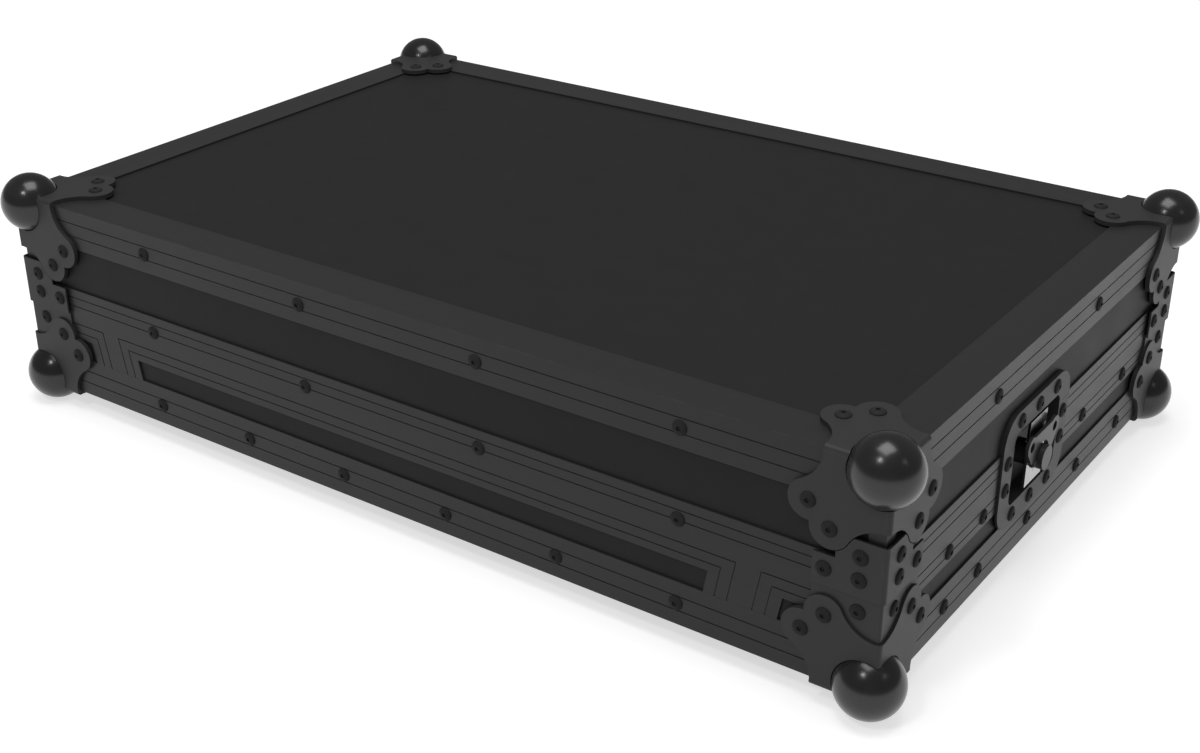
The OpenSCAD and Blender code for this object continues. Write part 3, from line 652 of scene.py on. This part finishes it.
def ball_at(centre, toward):
    """A ball without the part that lies inside the case's corner."""
    bpy.ops.object.select_all(action="DESELECT")
    bpy.ops.mesh.primitive_uv_sphere_add(segments=ball_segments, ring_count=ball_rings, radius=ball_radius,
                                         location=centre)
    ball = bpy.context.object
    settle(ball)
    corner = Vector([toward[i] * (half_length, half_width, 0)[i] for i in range(3)])
    corner.z = case_top if toward[2] > 0 else case_bottom
    side = 2 * ball_radius
    middle = corner - Vector(toward) * ball_radius
    bpy.ops.mesh.primitive_cube_add(size=side, location=middle)
    block = bpy.context.object
    cut = ball.modifiers.new("inner_cut", "BOOLEAN")
    cut.operation = "DIFFERENCE"
    cut.object = block
    pick_only(ball)
    bpy.ops.object.modifier_apply(modifier="inner_cut")
    bpy.data.objects.remove(block)
    return ball


def make_balls(node, upward):
    balls = []
    for part in loose_parts(node):
        low, high = span(part)
        toward = (1 if high.x > 0 else -1, 1 if high.y > 0 else -1, upward)
        outer = [high[i] if toward[i] > 0 else low[i] for i in range(3)]
        centre = Vector([outer[i] - toward[i] * ball_radius for i in range(3)])
        bpy.data.objects.remove(part)
        balls.append(ball_at(centre, toward))
    whole = join_as(balls, node + "_finished")
    smooth_faces(whole)
    stand_for(whole, node, ball_finish)
    return len(whole.data.polygons)


ball_finish = ball_lacquer()
print("Faces on the balls:", make_balls("lid_corner_balls", 1) + make_balls("base_corner_balls", -1))

# %% [markdown]
# A pop rivet has a low domed head and, in its middle, the hole where the mandrel broke off, with a stub left
# in it. One head is modelled from a short cylinder, by extruding its top face and narrowing it step by step,
# and is then copied to every rivet of the frame. The list of steps gives the dome's outline, as shares of the
# head's radius and height. A rivet faces the way in which it stands out of the profiles, and each copy gets a
# turn of its own.

# %% One rivet head
rivet_sides = 16
rivet_smooth_angle = math.radians(50)
rivet_steps_share = [(0.99, 0.3), (0.86, 0.62), (0.6, 0.86), (0.3, 0.98)]
foot_rise = 0.14
crown_rise = 0.995
hole_share = 0.28
hole_rim_share = 0.33
rim_drop = 0.03
hole_drop = 0.5
stub_share = 0.13
stub_rise = 0.16
stub_taper = 0.9


def select_top(piece):
    """Selects the one face that lies highest and looks up."""
    bpy.ops.object.mode_set(mode="OBJECT")
    faces = piece.data.polygons
    for item in (*piece.data.vertices, *piece.data.edges, *faces):
        item.select = False
    top = max(faces, key=lambda face: (round(face.center.z, 7), face.normal.z))
    top.select = True
    bpy.ops.object.mode_set(mode="EDIT")
    bpy.ops.mesh.select_mode(type="FACE")
    return top


def ring_in(share, rise):
    """Extrudes the selected top face, narrows it to a share of its size and lifts it."""
    bpy.ops.mesh.extrude_region_move(TRANSFORM_OT_translate={"value": (0, 0, rise)})
    bpy.ops.transform.resize(value=(share, share, 1), center_override=(0, 0, 0))


def model_rivet(radius, height):
    bpy.ops.object.select_all(action="DESELECT")
    foot = foot_rise * height
    bpy.ops.mesh.primitive_cylinder_add(vertices=rivet_sides, radius=radius, depth=foot,
                                        location=(0, 0, foot / 2))
    rivet = bpy.context.object
    settle(rivet)
    select_top(rivet)
    wide, high = 1.0, foot
    for width_share, height_share in rivet_steps_share:
        ring_in(width_share / wide, height_share * height - high)
        wide, high = width_share, height_share * height
    ring_in(hole_rim_share / wide, crown_rise * height - high)
    ring_in(hole_share / hole_rim_share, -rim_drop * height)
    ring_in(1.0, -hole_drop * height)
    ring_in(stub_share / hole_share, 0.0)
    ring_in(stub_taper, stub_rise * height)
    bpy.ops.object.mode_set(mode="OBJECT")
    pick_only(rivet)
    bpy.ops.object.shade_smooth_by_angle(angle=rivet_smooth_angle)
    return rivet


# %% Rivets in their places
def facing(low, high):
    """The direction in which a solid stands out of the profiles."""
    least_stand = 0.2 * mm
    outs = [
        (high.x - half_length, Vector((1, 0, 0))), (-half_length - low.x, Vector((-1, 0, 0))),
        (high.y - half_width, Vector((0, 1, 0))), (-half_width - low.y, Vector((0, -1, 0))),
        (high.z - case_top, Vector((0, 0, 1))), (case_bottom - low.z, Vector((0, 0, -1))),
    ]
    return [direction for depth, direction in outs if depth > least_stand][0]


def make_rivets(node, seed):
    turns = random.Random(seed)
    copies = []
    for part in loose_parts(node):
        low, high = span(part)
        out = facing(low, high)
        middle = (low + high) / 2
        tip = Vector([high[i] if out[i] > 0 else low[i] if out[i] < 0 else middle[i] for i in range(3)])
        bpy.data.objects.remove(part)
        copy = rivet_master.copy()
        copy.data = rivet_master.data.copy()
        bpy.context.collection.objects.link(copy)
        stand = out.to_track_quat("Z", "Y").to_matrix().to_4x4()
        spin = Matrix.Rotation(turns.uniform(0, math.tau), 4, "Z")
        copy.data.transform(Matrix.Translation(tip - out * rivet_height) @ stand @ spin)
        copies.append(copy)
    whole = join_as(copies, node + "_finished")
    stand_for(whole, node, rivet_finish)
    return len(copies)


def rivet_coat():
    return coated("rivet_coat", (0.025, 0.025, 0.025), (0.031, 0.031, 0.031), (0.034, 0.034, 0.034),
                  rough=0.5, rough_spread=0.1, gloss=0.04, relief=grained(600.0), relief_depth=0.003 * mm)


rivet_radius = 5 * mm
rivet_height = 1.9 * mm
rivet_finish = rivet_coat()
rivet_master = model_rivet(rivet_radius, rivet_height)
print("Rivets:", make_rivets("lid_rivets", 3), "and", make_rivets("base_rivets", 4))
bpy.data.objects.remove(rivet_master)

# %% [markdown]
# The recessed latches have a pressed dish with a flange, a keeper half on the lid, a turning barrel with a
# folding wing, and a strap with a hook that the barrel's eccentric draws down. Pressed steel bends round
# its edges, so they are broken wider here, and each turning part has a smoother coat than the dish. The
# strap is plated bright, and the hook and the pin of the wing are plated dark.

# %% Latches
dish_edge = 0.5 * mm
small_edge = 0.35 * mm
pin_edge = 0.15 * mm
latch_coat = powder_coat("latch_coat")
turned_coat = powder_coat("turned_coat", 0.34)


def nickel_plate(name, level):
    """level is how much of the light the plated metal gives back."""
    return make_metallic(coated(
        name, (0.9 * level, 0.9 * level, 0.92 * level), (1.1 * level, 1.1 * level, 1.12 * level),
        (1.2 * level, 1.2 * level, 1.2 * level),
        rough=0.24, rough_spread=0.1, gloss=0.5, relief=drawn("z"), relief_depth=0.002 * mm))


strap_plate = nickel_plate("bright_nickel", 0.33)
hook_plate = nickel_plate("black_nickel", 0.13)
latch_faces = 0
for end in ends:
    latch_faces += dress("latch_dish_" + end, dish_edge, latch_coat, 3)
    latch_faces += dress("latch_keeper_" + end, dish_edge, latch_coat, 3)
    for part, finish in (("latch_barrel_", turned_coat), ("latch_wing_", turned_coat),
                         ("latch_strap_", strap_plate), ("latch_hook_", hook_plate)):
        latch_faces += dress(part + end, small_edge, finish)
    latch_faces += dress("wing_pin_" + end, pin_edge, hook_plate)
print("Faces on the latches:", latch_faces)

# %% [markdown]
# The lining is charcoal foam: a pad on the floor, four strips round the walls and a thick pad in the lid.
# Cut foam has soft edges and a face full of open cells. Each pad starts as a box a quarter of a millimetre
# inside its node's, gets rounded edges and a fine mesh, and its faces are then moved in as much again. Each
# end strip has a pocket, open at the top, where the collar behind the latch would otherwise press into the
# foam.

# %% Foam
foam_round = 2.5 * mm
foam_round_steps = 3
foam_cuts = 5
foam_inset = 0.25 * mm
foam_gap = 0.3 * mm
pocket_gap = 1.5 * mm
pocket_length = 10 * mm
pocket_rise = 60 * mm
pocket_sides = 48
collar_radius = 6 * mm
strip_limit = 30 * mm


def foam_material():
    material = coated("charcoal_foam", (0.012, 0.012, 0.0125), (0.022, 0.022, 0.0225), (0.02, 0.02, 0.02),
                      rough=0.92, rough_spread=0.08, gloss=0.1, relief=grained(900.0), relief_depth=0.3 * mm,
                      scratch=0.0)
    material.node_tree.nodes["Principled BSDF"].inputs["Sheen Weight"].default_value = 0.15
    return material


def foam_block(low, high):
    bpy.ops.object.select_all(action="DESELECT")
    bpy.ops.mesh.primitive_cube_add(size=1, location=(low + high) / 2, scale=high - low)
    block = bpy.context.object
    settle(block)
    bpy.ops.object.mode_set(mode="EDIT")
    bpy.ops.mesh.select_all(action="SELECT")
    bpy.ops.mesh.bevel(offset=foam_round, segments=foam_round_steps, affect="EDGES")
    bpy.ops.mesh.select_all(action="SELECT")
    bpy.ops.mesh.subdivide(number_cuts=foam_cuts)
    bpy.ops.mesh.select_all(action="SELECT")
    bpy.ops.transform.shrink_fatten(value=-foam_inset)
    bpy.ops.object.mode_set(mode="OBJECT")
    return block


def lift_upper_half(piece, middle, rise):
    """Draws a round piece out upwards, by its vertices above the height of its middle."""
    bpy.ops.object.mode_set(mode="EDIT")
    bpy.ops.mesh.select_mode(type="VERT")
    bpy.ops.mesh.select_all(action="DESELECT")
    bpy.ops.object.mode_set(mode="OBJECT")
    for vertex in piece.data.vertices:
        vertex.select = vertex.co.z > middle
    bpy.ops.object.mode_set(mode="EDIT")
    bpy.ops.transform.translate(value=(0, 0, rise))
    bpy.ops.object.mode_set(mode="OBJECT")


def pocket_tool(end):
    """The round shape, drawn out to the top, that clears the collar behind a latch."""
    low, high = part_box("latch_barrel_" + end)
    outwards = 1 if end == "right" else -1
    collar = low.x if outwards > 0 else high.x
    floor_x = collar - outwards * (foam_gap + pocket_gap)
    place = (floor_x + outwards * pocket_length / 2, (low.y + high.y) / 2, (low.z + high.z) / 2)
    bpy.ops.object.select_all(action="DESELECT")
    bpy.ops.mesh.primitive_cylinder_add(vertices=pocket_sides, radius=collar_radius + pocket_gap,
                                        depth=pocket_length, location=place, rotation=(0, math.pi / 2, 0))
    tool = bpy.context.object
    settle(tool)
    lift_upper_half(tool, place[2], pocket_rise)
    return tool


def relieve_for_collar(block, end):
    tool = pocket_tool(end)
    cut = block.modifiers.new("collar_pocket", "BOOLEAN")
    cut.operation = "DIFFERENCE"
    cut.object = tool
    pick_only(block)
    bpy.ops.object.modifier_apply(modifier="collar_pocket")
    bpy.data.objects.remove(tool)


def make_foam(node):
    blocks = []
    for part in loose_parts(node):
        low, high = span(part)
        bpy.data.objects.remove(part)
        inset = Vector((foam_inset, foam_inset, foam_inset))
        blocks.append(foam_block(low + inset, high - inset))
        if high.x - low.x < strip_limit:
            relieve_for_collar(blocks[-1], "right" if low.x > 0 else "left")
    whole = join_as(blocks, node + "_finished")
    smooth_faces(whole)
    stand_for(whole, node, foam_finish)
    return len(whole.data.polygons)


foam_finish = foam_material()
foams = ("lid_foam_pad", "floor_foam_pad", "wall_foam_strips")
print("Faces on the foam:", [make_foam(node) for node in foams])
